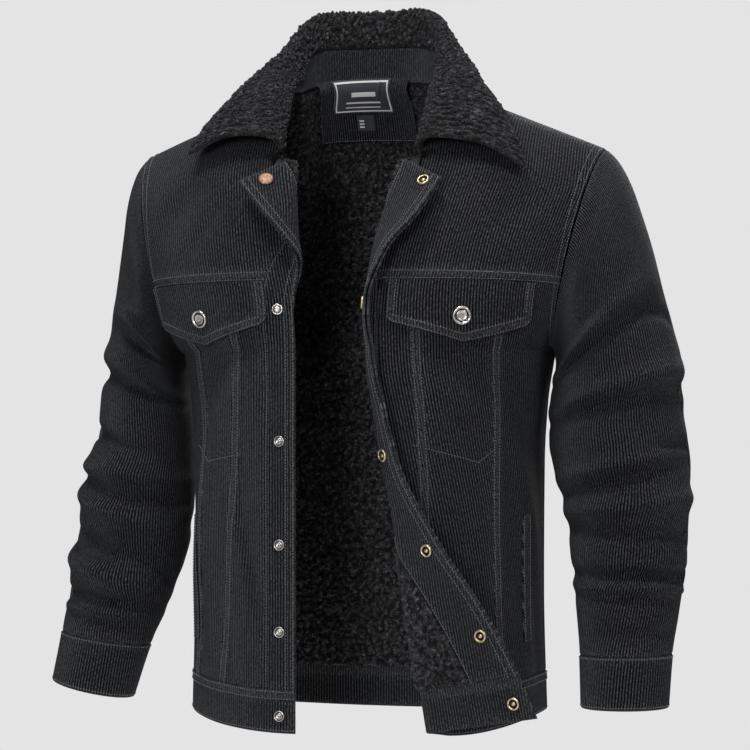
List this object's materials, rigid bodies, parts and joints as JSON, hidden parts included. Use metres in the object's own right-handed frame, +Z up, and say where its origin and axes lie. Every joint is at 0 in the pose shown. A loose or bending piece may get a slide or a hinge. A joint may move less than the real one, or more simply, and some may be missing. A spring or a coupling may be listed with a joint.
{
  "type": "sherpa lined jacket",
  "caption": "Open corduroy trucker jacket with a sherpa lining and collar, pointed chest pocket flaps, welt hand pockets, a snap front, a hem band and cuffed sleeves.",
  "frame": {"origin": "on the body's own axis, level with the tops of the shoulders beside the neck, where the garment is carried", "axes": "+Z up, +X towards the wearer's left, -Y towards the chest"},
  "size_m": [0.6924, 0.345, 0.7782],
  "materials": {
    "corduroy": "matte charcoal corduroy with fine upright wales",
    "sherpa": "matte curly sherpa pile, near black",
    "woven_label": "flat woven tape with a light border",
    "button_metal": "aged silver shank button with a coppery dish",
    "stud_metal": "aged silver snap stud",
    "socket_metal": "pale brass ring with a dark hollow",
    "cap_metal": "dull copper cap"
  },
  "bodies": {
    "root": {"right_front_yoke": "corduroy", "right_front_centre": "corduroy", "right_front_middle": "corduroy", "right_front_side": "corduroy", "right_placket": "corduroy", "right_facing": "corduroy", "right_hem_band": "corduroy", "right_front_lining": "sherpa", "right_pocket_flap": "corduroy", "right_hand_pocket_welt": "corduroy", "left_front_yoke": "corduroy", "left_front_centre": "corduroy", "left_front_middle": "corduroy", "left_front_side": "corduroy", "left_placket": "corduroy", "left_facing": "corduroy", "left_hem_band": "corduroy", "left_front_lining": "sherpa", "left_pocket_flap": "corduroy", "left_hand_pocket_welt": "corduroy", "back_yoke": "corduroy", "back_right": "corduroy", "back_centre": "corduroy", "back_left": "corduroy", "back_hem_band": "corduroy", "back_lining": "sherpa", "right_sleeve": "corduroy", "right_cuff": "corduroy", "left_sleeve": "corduroy", "left_cuff": "corduroy", "collar_fleece": "sherpa", "under_collar": "corduroy", "collar_stand": "corduroy", "neck_patch": "corduroy", "neck_label": "woven_label", "size_label": "woven_label", "right_pocket_button": "button_metal", "right_snap_cap_1": "cap_metal", "right_snap_stud_2": "stud_metal", "right_snap_stud_3": "stud_metal", "right_snap_stud_4": "stud_metal", "right_snap_stud_5": "stud_metal", "right_snap_stud_6": "stud_metal", "left_pocket_button": "button_metal", "left_snap_socket_1": "socket_metal", "left_snap_socket_2": "socket_metal", "left_snap_socket_3": "socket_metal", "left_snap_socket_4": "socket_metal", "left_snap_socket_5": "socket_metal", "left_snap_socket_6": "socket_metal"}
  },
  "joints": []
}
